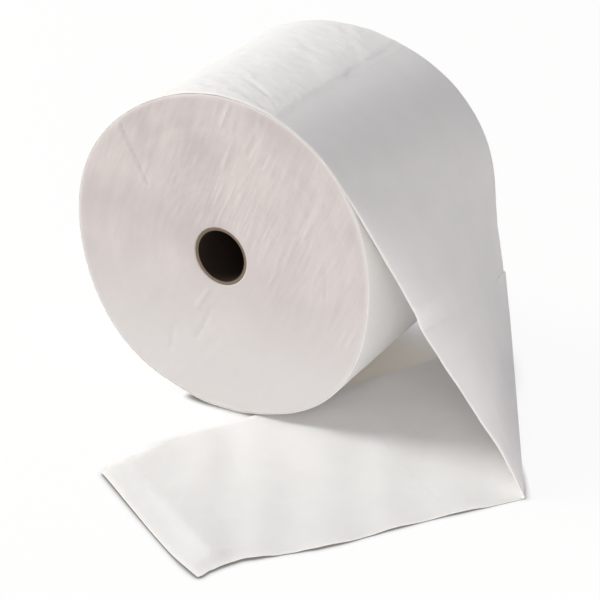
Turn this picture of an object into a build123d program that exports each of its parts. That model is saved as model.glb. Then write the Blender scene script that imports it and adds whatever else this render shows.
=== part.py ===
import os
from math import acos, atan2, cos, degrees, exp, hypot, pi, radians, sin

from build123d import *

# A toilet paper roll on its side, with its loose end drawn off over the right-hand side, hanging to the
# table, folded under there and laid forward along the table.
# Millimetres. The origin is the middle of the core's bore. +Y runs along the core, away from the end face
# that looks at the viewer, +Z is up, and the tail hangs on the +X side.

# The web
web_width = 98.0
sheet_length = 102.0
sheet_thickness = 0.5

# The wound roll, a little squashed by its own weight, with a small flat spot underneath
roll_width = 137.6
roll_height = 134.4
flat_depth = 0.5

# The core
core_diameter = 24.0
core_wall = 1.5
core_recess = 0.4
glue_gap = 0.05

# The turns, which show on each end face as a spiral groove that leads out to the tail
turn_count = 11
turn_groove_width = 0.5
turn_groove_depth = 0.4
turn_margin = 2.0

# The hanging stretch of the tail, and the slanting fold in which it ends. Both stretches of the tail run
# tail_sink deep into what they join.
hang_reach = 65.7
fold_far_rise = 11.0
fold_radius = 0.7
tail_sink = 0.1
hang_stations = 7

# The stretch on the table. It heads towards the viewer, turned to the left by laid_turn degrees.
laid_turn = 32.2
laid_length = 132.0
free_end_skew = 2.8
far_corner_tuck = 15.0
tuck_length = 34.0
laid_stations = 13
laid_points = 6

# Its lift off the table: where it comes down from the fold, almost straight, in a ridge near the free end,
# and in ripples
landing_run = 125.0
landing_bend = 1.25
ridge_height = 2.2
ridge_from_end = 17.0
ridge_spread = 9.0
ridge_fade = 0.6
ripple_height = 0.5
ripple_length = 58.0

# The perforations between sheets: slits right through the tail, and scores on the wound roll
slit_length = 3.2
slit_width = 0.35
slit_pitch = 6.0
slit_reach = 8.0
score_depth = 0.3
score_lines = 4
hang_perforation_slant = 45.0

half_web = web_width / 2
half_width = roll_width / 2
half_height = roll_height / 2
mean_radius = (half_width + half_height) / 2
table_z = flat_depth - half_height

core_radius = core_diameter / 2
bore_radius = core_radius - core_wall
core_length = web_width - 2 * core_recess
web_bore_radius = core_radius + glue_gap

# The laid stretch is as wide as the web, and both of its edges reach the fold, which fixes the fold's
# far corner
up = Vector(0, 0, 1)
along = Vector(-sin(radians(laid_turn)), -cos(radians(laid_turn)), 0)
across = along.cross(up)
near_fold = Vector(half_width + hang_reach, -half_web, table_z)
fold_along = web_width * (across.Y - 1) / cos(radians(laid_turn))
far_fold = near_fold + across * web_width + along * fold_along + up * fold_far_rise

slit_count = int(web_width / slit_pitch)
slit_places = [(step - (slit_count - 1) / 2) * slit_pitch for step in range(slit_count)]


def rim_point(angle, depth):
    """A point on the wound roll's outline, or some depth under it, seen along the core."""
    return Vector((half_width - depth) * cos(angle), (half_height - depth) * sin(angle))


def hang_line(share):
    """The tight sheet seen along the core, at a share of the way along the fold: the angle at which it
    leaves the roll, its start there, its end on the fold and its outward direction."""
    middle = near_fold + (far_fold - near_fold) * share + up * fold_radius
    outward = Vector(0, 0)
    for _ in range(3):
        end = Vector(middle.X, middle.Z) + outward * (fold_radius - tail_sink)
        u, w = end.X / (half_width - tail_sink), end.Y / (half_height - tail_sink)
        angle = atan2(w, u) + acos(1 / hypot(u, w))
        start = rim_point(angle, tail_sink)
        outward = (end - start).normalized().rotate(Axis.Z, 90)
    return angle, start, end, outward


def hang_point(share, height):
    """A point on the hanging sheet, some way up it from the fold."""
    _, start, end, _ = hang_line(share)
    point = end + (start - end).normalized() * height
    return Vector(point.X, web_width * share - half_web, point.Y)


def laid_lift(w, s):
    """Height of the laid stretch above the table, w across it and s along it from the near fold corner."""
    run = s - fold_along * w / web_width
    landing = fold_far_rise * w / web_width * max(0, 1 - run / landing_run) ** landing_bend
    from_ridge = (s - laid_length + ridge_from_end) / ridge_spread
    ridge = ridge_height * exp(-from_ridge * from_ridge) * (1 - ridge_fade * w / web_width)
    ripple = ripple_height * (1 - cos(2 * pi * s / ripple_length)) / 2
    return landing + ridge + ripple + tail_sink


def spiral_arcs(shift):
    """The spiral as half-turn arcs, from the core out to where the tail leaves, pushed out by shift."""
    arcs = []
    for half_turn in range(2 * turn_count):
        facing = leaving_angle + pi * half_turn
        radius = spiral_start + shift + spiral_pitch * (half_turn / 2 + 0.25)
        middle = Vector(cos(facing), sin(facing)) * (-spiral_pitch / 4)
        arcs.append(CenterArc(middle, radius, degrees(facing), -180))
    return arcs


leaving_angle, hang_start, hang_end, _ = hang_line(0)
tail_length = (hang_end - hang_start).length + laid_length
spiral_start = web_bore_radius + turn_margin
spiral_pitch = (half_height - flat_depth - turn_margin - spiral_start) / turn_count

# Core: a plain cardboard tube, a little shorter than the web is wide
with BuildPart() as core:
    with BuildSketch(Plane.XZ):
        Circle(core_radius)
        Circle(bore_radius, mode=Mode.SUBTRACT)
    extrude(amount=core_length / 2, both=True)
core.part.label = "core"

# The stretch on the table: a rippled sheet, lofted along its length, cut to its outline and perforated
with BuildPart() as laid_stretch:
    first = fold_along - sheet_thickness
    last = laid_length + free_end_skew + sheet_thickness
    widths = [web_width * step / (laid_points - 1) for step in range(laid_points)]
    for step in range(laid_stations):
        s = first + (last - first) * step / (laid_stations - 1)
        with BuildSketch(Plane(origin=near_fold + along * s, x_dir=across, z_dir=along * -1)):
            with BuildLine():
                under = Spline(*[(w, laid_lift(w, s)) for w in widths])
                over = Spline(*[(w, laid_lift(w, s) + sheet_thickness) for w in widths])
                Line(under @ 0, over @ 0)
                Line(under @ 1, over @ 1)
            make_face()
    loft()
    below = Plane(origin=near_fold - up, x_dir=across, z_dir=up)
    with BuildSketch(below):
        with BuildLine():
            free_corner = (web_width - far_corner_tuck, laid_length + free_end_skew)
            shoulder = (web_width, laid_length - tuck_length)
            Polyline(free_corner, (0, laid_length), (0, 0), (web_width, fold_along), shoulder)
            TangentArc(shoulder, free_corner, tangent=(0, 1))
        make_face()
    extrude(amount=web_width, mode=Mode.INTERSECT)
    with BuildSketch(below):
        with Locations(*[(half_web + place, laid_length - sheet_length) for place in slit_places]):
            Rectangle(slit_length, slit_width)
    extrude(amount=web_width, mode=Mode.SUBTRACT)

# The tail: the hanging stretch, which is a tight sheet crossed by a slanting perforation, the fold, which
# is a thin round bead, and the stretch on the table
with BuildPart() as tail:
    for step in range(hang_stations):
        share = step / (hang_stations - 1)
        _, start, end, outward = hang_line(share)
        inward = outward * -sheet_thickness
        with BuildSketch(Plane.XZ.offset(half_web - web_width * share)):
            with BuildLine():
                Polyline(start, end, end + inward, start + inward, close=True)
            make_face()
    loft()
    near_rise = 2 * sheet_length - laid_length
    near_slit = hang_point(0, near_rise)
    slit_run = hang_point(1, near_rise - hang_perforation_slant) - near_slit
    down = hang_point(0.5, 0) - hang_point(0.5, near_rise)
    with BuildSketch(Plane(origin=near_slit, x_dir=slit_run, z_dir=slit_run.cross(down))):
        with Locations(*[(slit_run.length * (0.5 + place / web_width), 0) for place in slit_places]):
            Rectangle(slit_length, slit_width)
    extrude(amount=slit_reach, both=True, mode=Mode.SUBTRACT)
    for side, corner in ((1, near_fold), (-1, far_fold)):
        with BuildSketch(Plane.XZ.offset(side * half_web)):
            with Locations((corner.X, corner.Z + fold_radius)):
                Circle(fold_radius)
    loft()
    add(laid_stretch.part)

# The whole web: the wound roll, the spiral of its turns on both end faces, the perforations that show on
# its outermost turn, and the tail
with BuildPart() as paper:
    with BuildSketch(Plane.XZ):
        Ellipse(half_width, half_height)
        with Locations((0, table_z)):
            Rectangle(roll_width, roll_height, align=(Align.CENTER, Align.MAX), mode=Mode.SUBTRACT)
        Circle(web_bore_radius, mode=Mode.SUBTRACT)
    extrude(amount=half_web, both=True)
    for side in (1, -1):
        with BuildSketch(Plane.XZ.offset(side * half_web)):
            with BuildLine():
                inner = spiral_arcs(0)
                outer = spiral_arcs(turn_groove_width)
                Line(inner[0] @ 0, outer[0] @ 0)
                Line(inner[-1] @ 1, outer[-1] @ 1)
            make_face()
        extrude(amount=-side * turn_groove_depth, mode=Mode.SUBTRACT)
    for line in range(score_lines):
        from_free_end = (int(tail_length / sheet_length) + 1 + line) * sheet_length
        angle = leaving_angle + (from_free_end - tail_length) / mean_radius
        rim = rim_point(angle, 0)
        rim_plane = Plane(origin=(rim.X, 0, rim.Y), x_dir=(0, 1, 0), z_dir=(cos(angle), 0, sin(angle)))
        with BuildSketch(rim_plane):
            with Locations(*[(place, 0) for place in slit_places]):
                Rectangle(slit_length, slit_width)
        extrude(amount=score_depth, both=True, mode=Mode.SUBTRACT)
    add(tail.part)
paper.part.label = "paper"

os.makedirs("parts", exist_ok=True)
export_step(core.part, "parts/core.step")
export_step(paper.part, "parts/paper.step")
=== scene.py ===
import bisect
from math import atan2, cos, degrees, exp, hypot, pi, radians, sin, sqrt

import bmesh
import bpy
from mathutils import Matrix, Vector, noise


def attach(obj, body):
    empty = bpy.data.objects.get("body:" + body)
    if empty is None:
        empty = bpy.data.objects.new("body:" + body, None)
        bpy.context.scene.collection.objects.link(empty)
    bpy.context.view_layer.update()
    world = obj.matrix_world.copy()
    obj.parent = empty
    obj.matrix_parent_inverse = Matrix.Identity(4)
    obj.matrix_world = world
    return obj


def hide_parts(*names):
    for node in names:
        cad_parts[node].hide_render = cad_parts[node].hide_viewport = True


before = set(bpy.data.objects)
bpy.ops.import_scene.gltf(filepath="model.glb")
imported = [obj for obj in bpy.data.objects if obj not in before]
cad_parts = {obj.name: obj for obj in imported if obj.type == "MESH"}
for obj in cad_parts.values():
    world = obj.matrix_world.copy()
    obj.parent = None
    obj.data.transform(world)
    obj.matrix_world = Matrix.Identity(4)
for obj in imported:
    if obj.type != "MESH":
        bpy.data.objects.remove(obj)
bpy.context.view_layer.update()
scene = bpy.context.scene
scene.view_settings.view_transform = "Standard"
mm = 0.001

# The camera stands where the photographer stood
view = {
    "place": (0.52298, -0.82427, 0.43458),
    "azimuth": 32.117,
    "elevation": 25.871,
    "lens": 159.71,
    "sensor": 36,
    "clip": (0.01, 50),
}


def makeCamera():
    data = bpy.data.cameras.new("viewer")
    data.sensor_width = view["sensor"]
    data.lens = view["lens"]
    data.clip_start, data.clip_end = view["clip"]
    camera = bpy.data.objects.new("viewer", data)
    camera.location = view["place"]
    camera.rotation_euler = (radians(90 - view["elevation"]), 0, radians(view["azimuth"]))
    scene.collection.objects.link(camera)
    scene.camera = camera


makeCamera()
print("camera placed")


def smooth(x):
    x = min(1.0, max(0.0, x))
    return x * x * (3 - 2 * x)


def eased(x, start, end):
    # 0 at start, eased to 1 at end, whichever of the two is larger
    return smooth((x - start) / (end - start))


def readTable(table, x):
    # an eased value at x from (place, value) pairs
    i = min(max(bisect.bisect_right([p for p, _ in table], x), 1), len(table) - 1)
    (x0, a), (x1, b) = table[i - 1], table[i]
    return a + (b - a) * eased(x, x0, x1)


def creases(lines, x, y):
    # soft ridges and furrows along short bent lines, each as (height, half width, points)
    total = 0.0
    for height, width, points in lines:
        nearest = 1e9
        for (x0, y0), (x1, y1) in zip(points, points[1:]):
            dx, dy = x1 - x0, y1 - y0
            t = min(1.0, max(0.0, ((x - x0) * dx + (y - y0) * dy) / (dx * dx + dy * dy)))
            nearest = min(nearest, hypot(x - x0 - t * dx, y - y0 - t * dy))
        if nearest < 3 * width:
            total += height * exp(-(nearest / width) ** 2)
    return total


def swell(x, y, form):
    # soft noise; its form is (height, size along x, size along y, seed)
    height, long, wide, seed = form
    return height * noise.noise(Vector((x / long, y / wide, seed)))


def leaning(x, y, form):
    # noise drawn out along a slant, for bunched paper and saw marks: (height, degrees, long, short, seed)
    height, slant, long, short, seed = form
    a = radians(slant)
    return swell(x * cos(a) + y * sin(a), y * cos(a) - x * sin(a), (height, long, short, seed))


def asPiece(bm, name, material):
    mesh = bpy.data.meshes.new(name)
    bm.to_mesh(mesh)
    bm.free()
    mesh.shade_smooth()
    mesh.materials.append(material)
    piece = bpy.data.objects.new(name, mesh)
    scene.collection.objects.link(piece)
    return piece


def newMaterial(name):
    material = bpy.data.materials.new(name)
    material.use_nodes = True
    tree = material.node_tree
    return material, tree, tree.nodes["Principled BSDF"]


def setInputs(node, values):
    for key, value in values:
        node.inputs[key].default_value = value


def addNode(tree, kind, values=(), **settings):
    node = tree.nodes.new(kind)
    for key, value in settings.items():
        setattr(node, key, value)
    setInputs(node, values)
    return node


def drawnOut(tree, coords, stretch, turned, at=(0, 0, 0)):
    # coordinates turned first and then stretched, so a pattern is drawn out along a slant
    placing = [("Location", at), ("Rotation", turned), ("Scale", stretch)]
    mapping = addNode(tree, "ShaderNodeMapping", placing, vector_type="TEXTURE")
    tree.links.new(coords, mapping.inputs["Vector"])
    return mapping.outputs["Vector"]


def onObject(tree, stretch=(1, 1, 1), turned=(0, 0, 0), at=(0, 0, 0)):
    return drawnOut(tree, addNode(tree, "ShaderNodeTexCoord").outputs["Object"], stretch, turned, at)


def onWeb(tree, stretch=(1, 1, 1), turned=(0, 0, 0)):
    # the sheet's own map, metres along the web and across it
    return drawnOut(tree, addNode(tree, "ShaderNodeUVMap", uv_map="web").outputs["UV"], stretch, turned)


def axes(tree, vector):
    node = addNode(tree, "ShaderNodeSeparateXYZ")
    tree.links.new(vector, node.inputs["Vector"])
    return node.outputs


def lengthOf(tree, vector):
    node = addNode(tree, "ShaderNodeVectorMath", operation="LENGTH")
    tree.links.new(vector, node.inputs[0])
    return node.outputs["Value"]


def fromAxis(tree):
    # distance from the core's axis
    flat = addNode(tree, "ShaderNodeVectorMath", [(1, (1, 0, 1))], operation="MULTIPLY")
    tree.links.new(onObject(tree), flat.inputs[0])
    return lengthOf(tree, flat.outputs["Vector"])


def between(tree, value, start, end):
    # 0 at start, eased to 1 at end, whichever of the two is larger
    node = addNode(tree, "ShaderNodeMapRange", [("From Min", start), ("From Max", end)],
                   interpolation_type="SMOOTHSTEP")
    tree.links.new(value, node.inputs["Value"])
    return node.outputs["Result"]


def blended(tree, factor, a, b):
    # two colours, each a socket or a plain value; 6, 7 and 2 are the colour sockets
    node = addNode(tree, "ShaderNodeMix", data_type="RGBA")
    tree.links.new(factor, node.inputs[0])
    for socket, colour in ((node.inputs[6], a), (node.inputs[7], b)):
        if isinstance(colour, tuple):
            socket.default_value = (*colour, 1)
        else:
            tree.links.new(colour, socket)
    return node.outputs[2]


def speckle(tree, place, pattern, lined=False):
    # noise in space, or lined, along a single measure; its pattern is (scale, detail, roughness)
    values = zip(("Scale", "Detail", "Roughness"), pattern)
    node = addNode(tree, "ShaderNodeTexNoise", values, noise_dimensions="1D" if lined else "3D")
    tree.links.new(place, node.inputs["W" if lined else "Vector"])
    return node.outputs["Fac"]


def maths(tree, operation, *values):
    node = addNode(tree, "ShaderNodeMath", operation=operation)
    for socket, value in zip(node.inputs, values):
        if isinstance(value, (int, float)):
            socket.default_value = value
        else:
            tree.links.new(value, socket)
    return node.outputs["Value"]


def ramp(tree, source, stops):
    node = addNode(tree, "ShaderNodeValToRGB")
    elements = node.color_ramp.elements
    for element, (place, colour) in zip(elements, stops):
        element.position = place
        element.color = (*colour, 1)
    tree.links.new(source, node.inputs["Fac"])
    return node.outputs["Color"]


def bump(tree, height, relief, before=None):
    strength, distance = relief
    node = addNode(tree, "ShaderNodeBump", [("Strength", strength), ("Distance", distance)])
    tree.links.new(height, node.inputs["Height"])
    if before:
        tree.links.new(before, node.inputs["Normal"])
    return node.outputs["Normal"]


# The roll's section in millimetres: an ellipse with slight waves, of its own on the near and the far end face
rollShape = {
    "halfWidth": 68.8,
    "halfHeight": 67.2,
    "halfWeb": 49.0,
    "table": -66.7,
    "nearWaves": (-0.12, 0.15, 0.04, -0.1, 0.07, -0.58, -0.27, -0.75, -0.21, -0.09, 0.33, -0.04, -0.05),
    "farWaves": (-0.85, -1.04, 0.64, 0.57, 0.27, 0.12, 1.41, -0.13, 0.23),
    "bottomSpread": 26.0,
    "rimRound": 1.1,
    "rimDrop": 0.3,
}
webWidth = 2 * rollShape["halfWeb"]


def wave(terms, angle):
    total = terms[0]
    for k in range(1, (len(terms) + 1) // 2):
        total += terms[2 * k - 1] * cos(k * angle) + terms[2 * k] * sin(k * angle)
    return total


def fromBottom(angle):
    # degrees away from the spot that the roll rests on
    return abs((degrees(angle) + 270) % 360 - 180)


def outline(angle, share):
    # radius of the outermost turn, at an angle from +X towards +Z, share 0 being the near end face
    a, b = rollShape["halfWidth"], rollShape["halfHeight"]
    radius = a * b / hypot(b * cos(angle), a * sin(angle))
    off = wave(rollShape["nearWaves"], angle) * (1 - share) + wave(rollShape["farWaves"], angle) * share
    radius += off * eased(fromBottom(angle), 0, rollShape["bottomSpread"])
    if radius * sin(angle) < rollShape["table"]:
        radius = rollShape["table"] / sin(angle)
    return radius


def rimDrop(y):
    # how far the outermost turns lean in towards the core right at the rim
    into = (abs(y) - rollShape["halfWeb"]) / rollShape["rimRound"] + 1
    return rollShape["rimDrop"] * (1 - sqrt(max(0.0, 1 - max(0.0, into) ** 2)))


# Each pattern is (scale, detail, roughness), each tone a pair of (place on a pattern, colour), and each bump
# (strength, depth)
tissueLook = {
    "tones": ((0.35, (0.855, 0.849, 0.843)), (0.62, (0.88, 0.875, 0.868))),
    "cloud": (60, 4, 0.55),
    "cloudBump": (0.35, 0.25 * mm),
    "crepe": (1900, 2, 0.6),
    "crepeStretch": (1, 6, 1),
    "crepeBump": (0.6, 0.05 * mm),
    "fibre": (1500, 4, 0.7),
    "fibreBump": (0.5, 0.06 * mm),
    "crinkle": (420, 3, 0.6),
    "crinkleStretch": (2.3, 1, 1),
    "crinkleSlant": -30,
    "crinkleBump": (0.8, 0.2 * mm),
    "crinkleRuns": ((0.332, 0.352), (0.403, 0.4)),  # where it comes and goes, metres along the web
    "crinkleClouds": (0.42, 0.6),
    # painted light: a paler colour along the cut edges
    "paintedEdgeLight": (0.9, 0.885, 0.875),
    "paintedEdgeLightInset": (0.2 * mm, 0.05 * mm),
    "surface": (
        ("Roughness", 0.95),
        ("Specular IOR Level", 0.15),
        ("Sheen Weight", 0.1),
        ("Sheen Roughness", 0.6),
        ("Subsurface Weight", 0.8),  # thin tissue lets light through
        ("Subsurface Radius", (1, 0.95, 0.92)),
        ("Subsurface Scale", 0.9 * mm),
    ),
}


def tissueMaterial():
    # soft sheet: cloudy fibre, fine crepe lines across the web, crinkles where it is bunched on top
    look = tissueLook
    material, tree, shader = newMaterial("tissue")
    cloud = speckle(tree, onObject(tree), look["cloud"])
    crepe = speckle(tree, onWeb(tree, look["crepeStretch"]), look["crepe"])
    fibre = speckle(tree, onObject(tree), look["fibre"])
    slanted = onWeb(tree, look["crinkleStretch"], (0, 0, radians(look["crinkleSlant"])))
    crinkle = speckle(tree, slanted, look["crinkle"])
    place = axes(tree, onWeb(tree))
    for start, end in look["crinkleRuns"]:
        crinkle = maths(tree, "MULTIPLY", crinkle, between(tree, place["X"], start, end))
    crinkle = maths(tree, "MULTIPLY", crinkle, between(tree, cloud, *look["crinkleClouds"]))
    # painted light: the cut edges are painted a little paler, standing in for the light they catch and
    # lifting the shade of the gap at the roll's rim
    half = rollShape["halfWeb"] * mm
    aside = maths(tree, "ABSOLUTE", maths(tree, "SUBTRACT", place["Y"], half))
    paintedEdgeLight = between(tree, aside, *[half - inset for inset in look["paintedEdgeLightInset"]])
    colour = blended(tree, paintedEdgeLight, ramp(tree, cloud, look["tones"]), look["paintedEdgeLight"])
    normal = bump(tree, cloud, look["cloudBump"])
    normal = bump(tree, crinkle, look["crinkleBump"], normal)
    normal = bump(tree, crepe, look["crepeBump"], normal)
    normal = bump(tree, fibre, look["fibreBump"], normal)
    tree.links.new(colour, shader.inputs["Base Color"])
    tree.links.new(normal, shader.inputs["Normal"])
    setInputs(shader, look["surface"])
    return material


turnsLook = {
    "tones": ((0.3, (0.545, 0.503, 0.503)), (0.6, (0.63, 0.587, 0.585))),
    "mix": (0.5, 0.2, 0.15, 0.3),  # how much streaks, rings, broad rings and clouds give to the tones
    # painted bounce light: the end faces are painted whiter low down, standing in for light thrown up from
    # below
    "low": (0.665, 0.652, 0.657),
    "paintedBounceRange": (22 * mm, -56 * mm),
    # painted light: a paler band round the rim of each end face, standing in for the light the rounded rim
    # catches and lifting the shade of the gap under the outermost turn
    "rim": (0.71, 0.695, 0.685),
    "side": (0.9, 0.895, 0.89),
    "sideRange": (48 * mm, 48.4 * mm),
    "warp": (60, 2, 0.6),
    "warpDepth": 1.2 * mm,
    "rings": (1 / (0.42 * mm), 2, 0.6),
    "ringsBump": (0.5, 0.03 * mm),
    "broad": (260, 2, 0.6),
    "cloud": (26, 2, 0.6),
    "streak": (950, 4, 0.6),
    "streakStretch": (1, 3, 9),
    "streakSlant": 22,
    "streakClouds": (0.3, 0.7),
    "streakBump": (0.5, 0.25 * mm),
    "surface": (("Roughness", 0.95), ("Specular IOR Level", 0.15)),
}


def turnsMaterial():
    # the sawn ends of some hundreds of turns: faint rings, saw streaks, and painted light: whiter low down
    # for light thrown up from below, and paler right at the rim
    look = turnsLook
    material, tree, shader = newMaterial("turns")
    uneven = speckle(tree, onObject(tree), look["warp"])
    warped = maths(tree, "MULTIPLY_ADD", uneven, look["warpDepth"], fromAxis(tree))
    rings = speckle(tree, warped, look["rings"], lined=True)
    broad = speckle(tree, warped, look["broad"], lined=True)
    cloud = speckle(tree, onObject(tree), look["cloud"])
    slanted = onObject(tree, look["streakStretch"], (0, radians(look["streakSlant"]), 0))
    streak = speckle(tree, slanted, look["streak"])
    # some patches are smoother
    streak = maths(tree, "MULTIPLY", streak, between(tree, cloud, *look["streakClouds"]))
    tone = 0
    for pattern, weight in zip((streak, rings, broad, cloud), look["mix"]):
        tone = maths(tree, "MULTIPLY_ADD", pattern, weight, tone)
    place = axes(tree, onObject(tree))
    # painted bounce light: whiter towards the bottom of the end faces
    low = between(tree, place["Z"], *look["paintedBounceRange"])
    plain = blended(tree, low, ramp(tree, tone, look["tones"]), look["low"])
    # painted rim light, read from the mesh
    rim = addNode(tree, "ShaderNodeAttribute", attribute_name="rim").outputs["Fac"]
    end = between(tree, maths(tree, "ABSOLUTE", place["Y"]), *look["sideRange"])
    colour = blended(tree, end, look["side"], blended(tree, rim, plain, look["rim"]))
    normal = bump(tree, streak, look["streakBump"])
    normal = bump(tree, rings, look["ringsBump"], normal)
    tree.links.new(colour, shader.inputs["Base Color"])
    tree.links.new(normal, shader.inputs["Normal"])
    setInputs(shader, look["surface"])
    return material


cardLook = {
    "wall": ((0.3, (0.09, 0.06, 0.04)), (0.7, (0.17, 0.125, 0.09))),
    # the bore: partly a darker inner ply, and partly painted shade deep in the tube
    "inside": ((0.3, (0.0154, 0.0091, 0.0063)), (0.7, (0.022, 0.013, 0.009))),
    "boreShadeRange": (10.56 * mm, 10.8 * mm),
    "cut": ((0.35, (0.17, 0.125, 0.09)), (0.65, (0.23, 0.185, 0.145))),
    "cutRange": (48.35 * mm, 48.5 * mm),
    "plies": (2600, 2, 0.5),
    "speck": (800, 5, 0.7),
    "speckStretch": (1, 3, 1),
    "speckBump": (0.5, 0.15 * mm),
    "surface": (("Roughness", 0.85), ("Specular IOR Level", 0.25)),
}


def cardMaterial():
    # grey-brown card: speckled, paler where the plies are cut, and near black in the bore, partly a darker
    # inner ply and partly painted shade
    look = cardLook
    material, tree, shader = newMaterial("card")
    speck = speckle(tree, onObject(tree, look["speckStretch"]), look["speck"])
    reach = fromAxis(tree)
    plies = speckle(tree, reach, look["plies"], lined=True)
    away = maths(tree, "ABSOLUTE", axes(tree, onObject(tree))["Y"])
    cut = between(tree, away, *look["cutRange"])
    outside = blended(tree, cut, ramp(tree, speck, look["wall"]), ramp(tree, plies, look["cut"]))
    # painted shade: inside the bore the card is near black
    wall = between(tree, reach, *look["boreShadeRange"])
    colour = blended(tree, wall, ramp(tree, speck, look["inside"]), outside)
    tree.links.new(colour, shader.inputs["Base Color"])
    tree.links.new(bump(tree, speck, look["speckBump"]), shader.inputs["Normal"])
    setInputs(shader, look["surface"])
    return material


tissue = tissueMaterial()
turns = turnsMaterial()
card = cardMaterial()
print("materials made")

# The web: its outermost turn, the hanging stretch, the fold and the stretch on the table. Places round the
# roll are in degrees, all else is in millimetres.
webShape = {
    "thickness": 0.26,
    "lift": 0.15,
    "turnStep": 0.35,
    "wrapStart": 408.0,
    "perforations": (327.0, 241.0, 155.0, 67.5),
    "nearFold": (134.5, -49.0, -66.7),
    "farFold": (76.4, 49.0, -56.0),
    "foldRadius": 0.8,
    "foldSteps": 8,
    "laidStart": 0.02,  # share of the laid stretch that the fold's last row stands for
    "laidTurn": 32.2,
    "slits": 40,
    "slitWidth": 0.05,
    "edgeCrowd": 0.5,
    "sharpEdge": 50,  # degrees from which an edge is crisp
    "spacing": {"wrap": 4.0, "bunched": 0.9, "leave": 2.0, "hang": 1.8, "laid": 1.7},
    # about how long each stretch is, to share out its rows
    "leave": 42,
    "hangAbove": 62,
    "hangBelow": 72,
    "laidBack": 84,
    "laidFront": 102,
    "laidHalf": 90,
}
roundPerDegree = 1.172  # mm round the roll for each degree

# The outermost turn, with its bunched part on top. The crinkles are forms for leaning, and the waves, the
# wander, the patches and the swell are forms for swell.
wrapShape = {
    "waves": (0.12, 10, 12.5, 0),
    "bottomSpread": 30,
    "bunched": 112.0,
    "bunchedMore": 2,
    "bunchedFade": 12,
    "overrun": 0.7,
    "overrunFade": 2.6,
    "short": 0.4,
    "shortFar": 2.94,
    "shortWander": (2, 7, 1, 12),
    "lift": 0.17,
    "dip": 0.6,
    "dipInset": 6,
    "loose": 0.5,
    "loosePatches": (1.6, 14, 14, 4),
    "crinkle": (0.22, 30, 11, 3.6, 3),
    "fineCrinkle": (0.09, 40, 6, 2.2, 8),
    "swell": (0.3, 13, 17, 6),
}

# Its wrinkles: (height, half width, points as (mm round, mm along))
topWrinkles = (
    (-0.36, 0.9, ((109, -27.5), (103, -30.0), (97, -33.5), (90.5, -36.8))),
    (0.16, 1.6, ((111, -24.0), (104, -27.0), (98.5, -30.5))),
    (0.2, 1.4, ((116, -19.0), (110, -22.0), (106.5, -24.0))),
    (-0.25, 1.2, ((109, 17.0), (103, 14.5), (98.5, 13.0))),
    (0.25, 1.4, ((110, 12.0), (104, 10.0), (98.5, 8.5))),
    (-0.2, 1.1, ((108, 6.0), (102, 4.5), (96, 3.5))),
    (-0.1, 1.4, ((95, 30.0), (89, 25.5), (83, 20.5))),
    (0.08, 1.8, ((94, 34.0), (88, 30.0), (83, 25.0))),
    (0.15, 1.2, ((105, -43.0), (96, -46.0), (89, -47.5))),
    (-0.12, 1.2, ((103, -40.0), (94, -44.0), (85.5, -46.0))),
)

# How the hanging stretch swings outward of the tight line: (share of the way down, mm), at its two edges
nearSwing = (
    (0, 0), (0.12, 0.3), (0.3, 0.5), (0.4, 0.0), (0.462, -1.6), (0.55, -1.0), (0.66, -0.2), (0.75, 0.4),
    (0.84, 1.5), (0.92, 1.1), (1, 0),
)
farSwing = ((0, 0), (0.3, -0.8), (0.6, -0.4), (0.8, -0.2), (1, 0))

# Pairs are where something begins and where it is full, as shares of the way down or across
hangShape = {
    "nearPerforation": 0.463,
    "farPerforation": 0.60,
    "nearSwingReach": 0.25,
    "farSwingReach": 0.3,
    "farJog": 0.9,
    "farJogAcross": (0.83, 1),
    "free": ((0, 1 / 6), (1, 11 / 12)),
    "bow": 3.0,
    "bowAt": 0.22,
    "bowDown": ((0.2, 0.6), (1, 0.75)),
    "flare": 2.2,
    "flareAt": 0.86,
    "flareSpread": 0.1,
    "flareAcross": ((0, 0.15), (1, 0.65)),
    "edgeCurl": 0.36,
    "edgeCurlWidth": 0.9,
    "edgeCurlWander": (0.225, 1 / 14, 1, 2),
    "swell": (0.35, 1 / 4, 1 / 5, 7),
}

# The edges of the stretch on the table, across it: (distance from the near fold corner, place)
nearEdge = (
    (0, -0.2), (14, 0), (22, 0.5), (34, 1.0), (55, 1.0), (63, 0.5), (72, 0), (84, 0.4), (91, 1.5), (99, 2.6),
    (106, 3.8), (113, 5.0), (117, 4.6), (121, 4.0), (126, 3.0), (131, 1.0), (134.8, 0),
)
farEdge = (
    (-54, 98), (55, 98), (78, 96.6), (94, 96.6), (105, 95), (112, 91), (119, 88), (129, 86.4), (134.8, 82.4),
)
laidShape = {
    "length": 132.0,
    "skew": 2.8,
    "skewReach": 0.13,
    "perforation": 30.0,
    "landing": 125.0,
    "landingBend": 1.25,
    "ridgeFromEnd": 12.0,
    "ridgeHeight": 2.4,
    "ridgeOuter": 6.5,
    "ridgeInner": 12.0,
    "ridgeCrest": 1.0,
    "ridgeFade": 0.55,
    "ridgeAtEdge": 0.35,
    "ridgeRise": 0.1,
    "ripple": 0.5,
    "rippleLength": 27.0,
    "rippleLean": 0.45,
    "rippleWander": (2.2, 40, 40, 5),
    "swellMean": 0.225,
    "swell": (0.225, 15, 15, 1),
    "plainRun": 25,
}

up = Vector((0, 0, 1))
laidTurn = radians(webShape["laidTurn"])
laidAlong = Vector((-sin(laidTurn), -cos(laidTurn), 0))
laidAcross = laidAlong.cross(up)
nearFold = Vector(webShape["nearFold"])
farFold = Vector(webShape["farFold"])

leavingAngles = [radians(k / 10) for k in range(-50, 700)]  # where a sheet might leave the roll
tightSteps = 24
tightRounds = 3


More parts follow.
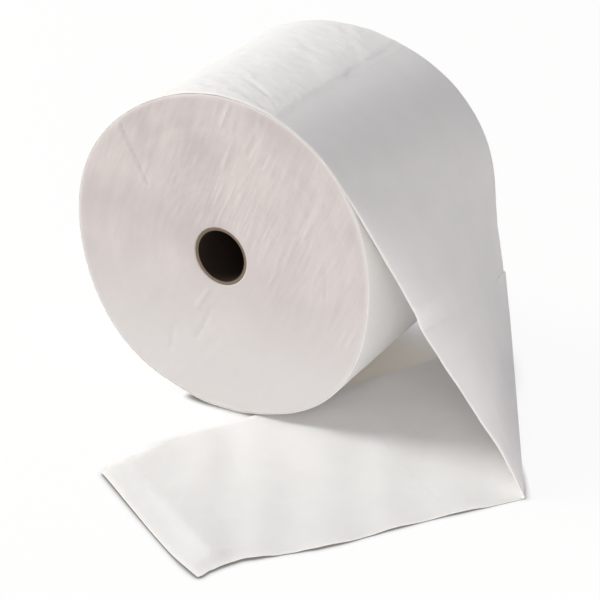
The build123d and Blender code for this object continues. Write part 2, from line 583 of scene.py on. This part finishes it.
def tightLine(share):
    # the tight sheet seen along the core: the angle where it leaves the roll, and the fold's centre
    corner = nearFold.lerp(farFold, share)
    centre = Vector((corner.x, corner.z + webShape["foldRadius"] + webShape["lift"]))
    end = centre
    for _ in range(tightRounds):
        spots = [(angle, outline(angle, share)) for angle in leavingAngles]
        angle, radius = min(spots, key=lambda s: atan2(s[1] * sin(s[0]) - end.y, s[1] * cos(s[0]) - end.x))
        way = (Vector((radius * cos(angle), radius * sin(angle))) - end).normalized()
        end = centre + Vector((way.y, -way.x)) * webShape["foldRadius"]
    return angle, centre


tightTable = [tightLine(k / tightSteps) for k in range(tightSteps + 1)]


def tightAt(share):
    x = min(max(share, 0.0), 1.0) * tightSteps
    i = min(int(x), tightSteps - 1)
    (angle0, centre0), (angle1, centre1) = tightTable[i], tightTable[i + 1]
    return angle0 + (angle1 - angle0) * (x - i), centre0.lerp(centre1, x - i)


def bunching(angle, short=0.0):
    # 1 where the outermost turn is bunched on top, down to some degrees short of the last perforation
    first = wrapShape["bunched"] + wrapShape["bunchedMore"]
    last = webShape["perforations"][-1] - wrapShape["overrun"] + short
    begun = eased(angle, first, first - wrapShape["bunchedFade"])
    return begun * eased(angle, last, last + wrapShape["overrunFade"])


def inward(y):
    # 0 at the rims, 1 well inside them
    return eased(abs(y), rollShape["halfWeb"], rollShape["halfWeb"] - wrapShape["dipInset"])


def wrapPoint(angle, share):
    # angle in degrees, counted on past a full turn towards the sheet's hidden start
    shape = wrapShape
    leave = degrees(tightAt(share)[0])
    y = share * webWidth - rollShape["halfWeb"]
    a = radians(angle)
    radius = outline(a % (2 * pi), share) - webShape["thickness"] / 2 - rimDrop(y)
    radius -= webShape["turnStep"] * max(0.0, angle - leave) / 360
    along = angle * roundPerDegree
    soft = swell(along, y, shape["waves"])
    short = shape["short"] + shape["shortFar"] * share + swell(y, 0, shape["shortWander"])
    onTop = bunching(angle, max(0.0, short))
    if onTop:
        loose = smooth(shape["loose"] + swell(along, y, shape["loosePatches"]))
        crinkled = loose * leaning(along, y, shape["crinkle"]) + leaning(along, y, shape["fineCrinkle"])
        bunched = shape["lift"] + creases(topWrinkles, along, y) + crinkled + swell(along, y, shape["swell"])
        soft = soft * (1 - onTop) + onTop * bunched
        soft = max(soft, -shape["dip"] * onTop * inward(y))
    radius += soft * eased(fromBottom(a), 0, shape["bottomSpread"])
    return Vector((radius * cos(a), y, radius * sin(a)))


def hangPoint(t, share):
    # t from 0 where the sheet leaves the roll, 0.5 at the perforation, to 1 where the fold begins
    shape = hangShape
    angle, centre = tightAt(share)
    start = wrapPoint(degrees(angle), share)
    way = Vector((start.x - centre.x, start.z - centre.y)).normalized()
    out = Vector((way.y, 0, -way.x))
    end = Vector((centre.x, start.y, centre.y)) + out * webShape["foldRadius"]
    broken = shape["nearPerforation"] + (shape["farPerforation"] - shape["nearPerforation"]) * share
    s = 2 * t * broken if t < 0.5 else broken + (2 * t - 1) * (1 - broken)
    swing = readTable(nearSwing, s) * exp(-(share / shape["nearSwingReach"]) ** 2)
    swing += readTable(farSwing, s) * exp(-((1 - share) / shape["farSwingReach"]) ** 2)
    if t > 0.5:
        swing += shape["farJog"] * eased(share, *shape["farJogAcross"]) * (1 - s) / (1 - broken)
    free, bowDown = [eased(s, *first) * eased(s, *last) for first, last in (shape["free"], shape["bowDown"])]
    bowed = sin(pi / 2 * min(1.0, share / shape["bowAt"])) * eased(share, 1, shape["bowAt"])
    swing += shape["bow"] * bowed * bowDown
    flared = exp(-((s - shape["flareAt"]) / shape["flareSpread"]) ** 2)
    near, far = shape["flareAcross"]
    swing -= shape["flare"] * flared * eased(share, *near) * eased(share, *far) * free
    fromEdge = min(share, 1 - share) * webWidth
    curl = shape["edgeCurl"] + swell(s, share, shape["edgeCurlWander"])
    swing -= curl * max(0.0, 1 - fromEdge / shape["edgeCurlWidth"]) ** 2 * free
    swing += swell(share, s, shape["swell"]) * free
    return start.lerp(end, s) + out * swing


def foldPoint(t, share):
    angle, centre = tightAt(share)
    start = wrapPoint(degrees(angle), share)
    first = atan2(centre.x - start.x, start.z - centre.y)
    a = first - (first + pi / 2) * t
    radius = webShape["foldRadius"]
    return Vector((centre.x + radius * cos(a), start.y, centre.y + radius * sin(a)))


def laidPoint(t, share):
    # t from 0 at the fold, 0.5 at the perforation, to 1 at the free end
    shape = laidShape
    corner = nearFold.lerp(farFold, share) - nearFold
    foldAlong = corner.dot(laidAlong)
    last = shape["length"] + shape["skew"] * (1 - exp(-share / shape["skewReach"]))
    broken = shape["perforation"]
    s = foldAlong + 2 * t * (broken - foldAlong) if t < 0.5 else broken + (2 * t - 1) * (last - broken)
    w = corner.dot(laidAcross) * readTable(farEdge, s) / webWidth + readTable(nearEdge, s) * (1 - share)
    run = s - foldAlong
    height = corner.z * max(0.0, 1 - run / shape["landing"]) ** shape["landingBend"]
    fromRidge = s - last + shape["ridgeFromEnd"]
    spread = shape["ridgeOuter"] if fromRidge > 0 else shape["ridgeInner"]
    ridge = exp((shape["ridgeCrest"] - hypot(fromRidge, shape["ridgeCrest"])) / spread)
    atEdge = shape["ridgeAtEdge"]
    ridge *= (1 - shape["ridgeFade"] * share) * (atEdge + (1 - atEdge) * eased(share, 0, shape["ridgeRise"]))
    height += shape["ridgeHeight"] * ridge
    phase = 2 * pi * (s + shape["rippleLean"] * w) / shape["rippleLength"]
    lift = shape["ripple"] * (1 + cos(phase + swell(s, w, shape["rippleWander"]))) / 2
    lift += shape["swellMean"] + swell(s, w, shape["swell"])
    height += lift * eased(run, 0, shape["plainRun"]) + webShape["lift"]
    return nearFold + laidAlong * s + laidAcross * w + up * height


def leavePoint(t, share):
    # from the last perforation on the roll to where the sheet leaves it
    first = webShape["perforations"][-1] - webShape["slitWidth"] / roundPerDegree / 2
    return wrapPoint(first + (degrees(tightAt(share)[0]) - first) * t, share)


def webRows():
    # rows along the web, each a way to place it and where, and the rows that a perforation follows
    shape = webShape
    rows, slits = [], set()

    def stretch(way, first, last, length, kind, slit):
        count = max(2, round(length / shape["spacing"][kind]))
        rows.extend((way, first + (last - first) * k / count) for k in range(count))
        if slit:
            rows.append((way, last))
            slits.add(len(rows) - 1)

    marks = (shape["wrapStart"],) + shape["perforations"]
    half = shape["slitWidth"] / roundPerDegree / 2
    for first, last in zip(marks, marks[1:]):
        top, low, kind = first - half, last + half, "wrap"
        if low < wrapShape["bunched"] < top:
            middle = wrapShape["bunched"]
            stretch(wrapPoint, top, middle, (top - middle) * roundPerDegree, kind, False)
            top, kind = middle, "bunched"
        stretch(wrapPoint, top, low, (top - low) * roundPerDegree, kind, True)
    stretch(leavePoint, 0, 1, shape["leave"], "leave", False)
    # half a slit's width as a share of the whole stretch, which has its perforation in the middle
    gap = shape["slitWidth"] / 4 / shape["hangAbove"]
    stretch(hangPoint, 0, 0.5 - gap, shape["hangAbove"], "hang", True)
    stretch(hangPoint, 0.5 + gap, 1, shape["hangBelow"], "hang", False)
    rows.extend((foldPoint, k / shape["foldSteps"]) for k in range(1, shape["foldSteps"] + 1))
    gap = shape["slitWidth"] / 4 / shape["laidHalf"]
    stretch(laidPoint, shape["laidStart"], 0.5 - gap, shape["laidBack"], "laid", True)
    stretch(laidPoint, 0.5 + gap, 1, shape["laidFront"], "laid", False)
    rows.append((laidPoint, 1.0))
    return rows, slits


def makeWeb():
    rows, slits = webRows()
    last = len(rows) - 1
    columns = 3 * webShape["slits"] + 1  # each slit is two columns wide, and a bond one
    bm = bmesh.new()
    bmesh.ops.create_grid(bm, x_segments=last, y_segments=columns, size=1)
    layer = bm.loops.layers.uv.new("web")
    spot = {v: (round((v.co.x + 1) / 2 * last), round((v.co.y + 1) / 2 * columns)) for v in bm.verts}
    even = [j / columns for j in range(columns + 1)]
    crowd = webShape["edgeCrowd"] / (2 * pi)  # brings the columns closer together at the edges
    shares = [u - crowd * sin(2 * pi * u) for u in even]
    places = {(i, j): way(t, share) for i, (way, t) in enumerate(rows) for j, share in enumerate(shares)}
    reach = [0.0]
    for i in range(1, len(rows)):
        reach.append(reach[-1] + (places[i, columns // 2] - places[i - 1, columns // 2]).length)
    for v, place in spot.items():
        v.co = places[place] * mm
    cut = []
    for face in bm.faces:
        for loop in face.loops:
            i, j = spot[loop.vert]
            loop[layer].uv = (reach[i] * mm, shares[j] * webWidth * mm)
        i = min(spot[v][0] for v in face.verts)
        j = min(spot[v][1] for v in face.verts)
        if i in slits and j % 3:
            cut.append(face)
    bmesh.ops.delete(bm, geom=cut, context="FACES")
    web = asPiece(bm, "web", tissue)
    solid = web.modifiers.new("paper", "SOLIDIFY")
    solid.thickness = webShape["thickness"] * mm
    solid.offset = 0
    depsgraph = bpy.context.evaluated_depsgraph_get()
    mesh = bpy.data.meshes.new_from_object(web.evaluated_get(depsgraph))
    mesh.set_sharp_from_angle(angle=radians(webShape["sharpEdge"]))
    web.modifiers.clear()
    web.data = mesh
    print("web made,", len(rows), "rows over", round(reach[-1]), "mm")
    return web, reach[-1] * mm


web, webLength = makeWeb()

# The wound turns under it. A saw is (height, long, short, seed) of its marks, and a lean their slants in
# degrees, high and low on the face.
turnsShape = {
    "bore": 12.05,
    "rings": 90,
    "steps": 420,
    "sideRings": 24,
    "recess": 0.03,
    "gap": 0.04,
    "dipRoom": 0.1,
    "paintedRimLightWidth": 1.7,
    "plainRim": 1.5,
    "plainBore": 3,
    "nearLean": (72, 52),
    "farLean": (117, 130),
    "fineLean": 8,
    "upperTilt": 0.6,
    "upper": (-25, 25),
    "streak": 0.19,
    "lowStreak": 0.45,
    "saw": (1, 22, 2.4, 4),
    "lowSaw": (1, 16, 3.2, 6),
    "fineSaw": (0.16, 12, 1.1, 9),
    "ringRate": 0.45,
    "ringDrift": 0.2,
    "ringWave": (0.03, 1, 1 / 0.3, 0),
    "dish": (0.35, 25, 25),
}

# Creases and saw marks on the near end face: (height, half width, (x, z) points)
faceCreases = (
    (-0.55, 0.45, ((-45.7, 45.0), (-42.5, 39.0), (-39.4, 33.8), (-36.5, 28.0), (-33.6, 22.9))),
    (0.15, 1.6, ((-47.2, 43.5), (-43.5, 37.5), (-40.8, 32.0))),
    (0.4, 0.6, ((5.0, 64.0), (3.0, 59.0), (1.6, 55.0))),
    (-0.35, 0.9, ((16.5, 59.0), (16.0, 52.0), (13.0, 45.0))),
    (-0.3, 0.7, ((25.0, 56.0), (23.0, 49.0), (19.5, 42.0))),
    (0.25, 1.1, ((7.0, 58.0), (5.5, 48.0), (2.0, 38.0))),
    (0.25, 0.9, ((47.0, 34.0), (44.0, 27.0), (39.0, 18.0))),
    (-0.25, 1.0, ((44.0, 36.0), (40.0, 27.0), (35.0, 17.0))),
    (0.25, 1.2, ((-6.0, -16.0), (-11.0, -24.0))),
    (-0.25, 1.2, ((-5.0, -24.0), (-9.0, -33.0), (-12.0, -38.0))),
    (-0.2, 1.1, ((-23.0, -36.0), (-24.5, -46.0))),
    (-0.25, 0.8, ((47.5, 4.0), (47.8, -6.0))),
)


def sawn(x, z, saw, lean, side):
    # saw marks, other ones on the two faces
    height, long, short, seed = saw
    return leaning(x, z, (height, lean, long, short, seed * side))


def endRelief(x, z, side):
    # how far the sawn end stands out of true, side being -1 on the near face and 1 on the far one; the
    # streaks lean more towards the left and the bottom, and show most at the top right
    shape = turnsShape
    reach = hypot(x, z)
    lean, lowLean = shape["nearLean"] if side < 0 else shape["farLean"]
    upper = eased(z - shape["upperTilt"] * x * side, *shape["upper"])
    streak = upper * sawn(x, z, shape["saw"], lean, side)
    streak += (1 - upper) * sawn(x, z, shape["lowSaw"], lowLean, side)
    relief = shape["streak"] * streak * (shape["lowStreak"] + (1 - shape["lowStreak"]) * upper)
    relief += upper * sawn(x, z, shape["fineSaw"], lean - shape["fineLean"], side)
    winding = reach * shape["ringRate"] + atan2(z, x) / pi * shape["ringDrift"]
    relief += swell(winding, side, shape["ringWave"])
    relief += swell(x, z, (*shape["dish"], side))
    if side < 0:
        relief += creases(faceCreases, x, z)
    return relief * eased(reach, shape["bore"], shape["bore"] + shape["plainBore"])


def makeTurns():
    shape = turnsShape
    bore, full = shape["bore"], rollShape["halfWidth"]
    flat = rollShape["halfWeb"] - shape["recess"]
    bm = bmesh.new()
    section = ((bore, -flat, 0), (full, -flat, 0), (full, flat, 0), (bore, flat, 0))
    corners = [bm.verts.new(place) for place in section]
    near, side, far, _ = [bm.edges.new(pair) for pair in zip(corners, corners[1:] + corners[:1])]
    bmesh.ops.subdivide_edges(bm, edges=[near, far], cuts=shape["rings"] - 1)
    bmesh.ops.subdivide_edges(bm, edges=[side], cuts=shape["sideRings"] - 1)
    bmesh.ops.spin(bm, geom=bm.verts[:] + bm.edges[:], cent=(0, 0, 0), axis=(0, 1, 0), angle=2 * pi,
                   steps=shape["steps"], use_merge=True, use_duplicate=False)
    bmesh.ops.recalc_face_normals(bm, faces=bm.faces)
    # painted rim light: how far each point lies within the pale band at the rim
    paintedRimLight = bm.verts.layers.float.new("rim")
    for v in bm.verts:
        r, y = hypot(v.co.x, v.co.z), v.co.y
        angle = atan2(v.co.z, v.co.x) % (2 * pi)
        share = (y + rollShape["halfWeb"]) / webWidth
        rim = outline(angle, share) - webShape["thickness"] - shape["gap"] - rimDrop(y)
        rim -= webShape["turnStep"] * ((angle - tightAt(share)[0]) % (2 * pi)) / (2 * pi)
        rim -= (wrapShape["dip"] + shape["dipRoom"]) * bunching(degrees(angle)) * inward(y)
        r = bore + (r - bore) * (rim - bore) / (full - bore)
        v[paintedRimLight] = eased(r, rim - shape["paintedRimLightWidth"], rim)
        if abs(abs(y) - flat) < 1e-3:
            outward = -1 if y < 0 else 1
            relief = endRelief(r * cos(angle), r * sin(angle), outward)
            y += outward * relief * eased(r, rim, rim - shape["plainRim"])
        v.co = Vector((r * cos(angle), y, r * sin(angle))) * mm
    return asPiece(bm, "turns", turns)


roll = makeTurns()
print("roll made")

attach(roll, "root")
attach(web, "root")
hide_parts("paper")
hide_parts("paper")

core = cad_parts["core"]
core.data.materials.clear()
core.data.materials.append(card)

# The studio: a pale table, soft light from the left and a fill from the right front
studio = {
    "lamps": {  # place, size, power, colour; the card throws a little light back from low on the right
        "softbox": ((-1.283, -0.366, 1.054), 1.0, 25.4, (1.0, 1.0, 0.935)),
        "fill": ((0.9, -1.4, 0.54), 1.2, 10.9, (1.0, 0.91, 0.84)),
        "card": ((0.25, -0.12, -0.06), 0.1, 0.07, (1.0, 0.98, 0.98)),
    },
    "sky": 0.395,
    "skyColour": (0.93, 0.91, 0.97),
    "table": (0.9, 0.895, 0.88),
    "tableReach": 6,
    "shade": ((38 * mm, 0.0), (62 * mm, 75 * mm)),  # middle and reach of where the roll's shade falls
    # painted light: in the roll's shade the camera sees a faint warm glow, standing in for warm light thrown
    # into the shadow
    "paintedWarmLight": (1.0, 0.87, 0.66),
    "paintedWarmLightRange": (0.45, 0.72),
    "white": (0.13, 0.92),  # how far the camera sees plain white: in the shade, where this faint glow is painted warm light lifting the shadow, and away from it
    "whiteRange": (0.7, 1.0),
    # painted shade: the white the camera sees darkens within this reach of anything on the table, drawing
    # contact shadow lines
    "contact": 3 * mm,
    "contactSamples": 8,
    "paintedContactShadeTones": ((0.5, (0.2, 0.19, 0.18)), (0.985, (1, 1, 1))),
}


def seenDirectly(tree):
    # 1 for what the camera sees, straight or in a mirror or a glass
    path = addNode(tree, "ShaderNodeLightPath")
    seen = maths(tree, "MAXIMUM", path.outputs["Is Camera Ray"], path.outputs["Is Glossy Ray"])
    return maths(tree, "MAXIMUM", seen, path.outputs["Is Transmission Ray"])


def makeTable():
    # a large pale top that fades to white away from the roll and keeps the roll's own shadow, lifted there by
    # painted warm light, with painted contact shadows next to what stands on it
    height = rollShape["table"] * mm
    bm = bmesh.new()
    bmesh.ops.create_grid(bm, x_segments=1, y_segments=1, size=studio["tableReach"])
    for v in bm.verts:
        v.co.z = height
    material, tree, shader = newMaterial("tabletop")
    link = tree.links.new
    setInputs(shader, [("Base Color", (*studio["table"], 1)), ("Roughness", 1), ("Specular IOR Level", 0)])
    # painted contact shadow: occlusion close by darkens the glow
    nearby = addNode(tree, "ShaderNodeAmbientOcclusion", [("Distance", studio["contact"])],
                     samples=studio["contactSamples"])
    contact = ramp(tree, nearby.outputs["AO"], studio["paintedContactShadeTones"])
    middle, reach = studio["shade"]
    away = lengthOf(tree, onObject(tree, (*reach, 1), at=(*middle, height)))
    # the glow: painted warm light in the shade, painted contact shadow elsewhere
    glow = addNode(tree, "ShaderNodeEmission", [("Strength", 1)])
    outside = between(tree, away, *studio["paintedWarmLightRange"])
    link(blended(tree, outside, studio["paintedWarmLight"], contact), glow.inputs["Color"])
    least, most = studio["white"]
    white = maths(tree, "MULTIPLY_ADD", between(tree, away, *studio["whiteRange"]), most - least, least)
    mix = addNode(tree, "ShaderNodeMixShader")
    link(maths(tree, "MULTIPLY", seenDirectly(tree), white), mix.inputs["Fac"])
    link(shader.outputs["BSDF"], mix.inputs[1])
    link(glow.outputs["Emission"], mix.inputs[2])
    link(mix.outputs["Shader"], tree.nodes["Material Output"].inputs["Surface"])
    asPiece(bm, "tabletop", material)


def makeLight():
    for name, (place, size, power, colour) in studio["lamps"].items():
        data = bpy.data.lights.new(name, "AREA")
        data.shape = "DISK"
        data.size = size
        data.energy = power
        data.color = colour
        lamp = bpy.data.objects.new(name, data)
        lamp.location = place
        lamp.rotation_euler = Vector(place).to_track_quat("Z", "Y").to_euler()
        lamp.visible_camera = False
        scene.collection.objects.link(lamp)
    world = bpy.data.worlds.new("room")
    world.use_nodes = True
    scene.world = world
    tree = world.node_tree
    seen = seenDirectly(tree)
    background = tree.nodes["Background"]
    tree.links.new(blended(tree, seen, studio["skyColour"], (1, 1, 1)), background.inputs["Color"])
    strength = maths(tree, "MULTIPLY_ADD", seen, 1 - studio["sky"], studio["sky"])
    tree.links.new(strength, background.inputs["Strength"])


makeTable()
makeLight()
print("studio made")
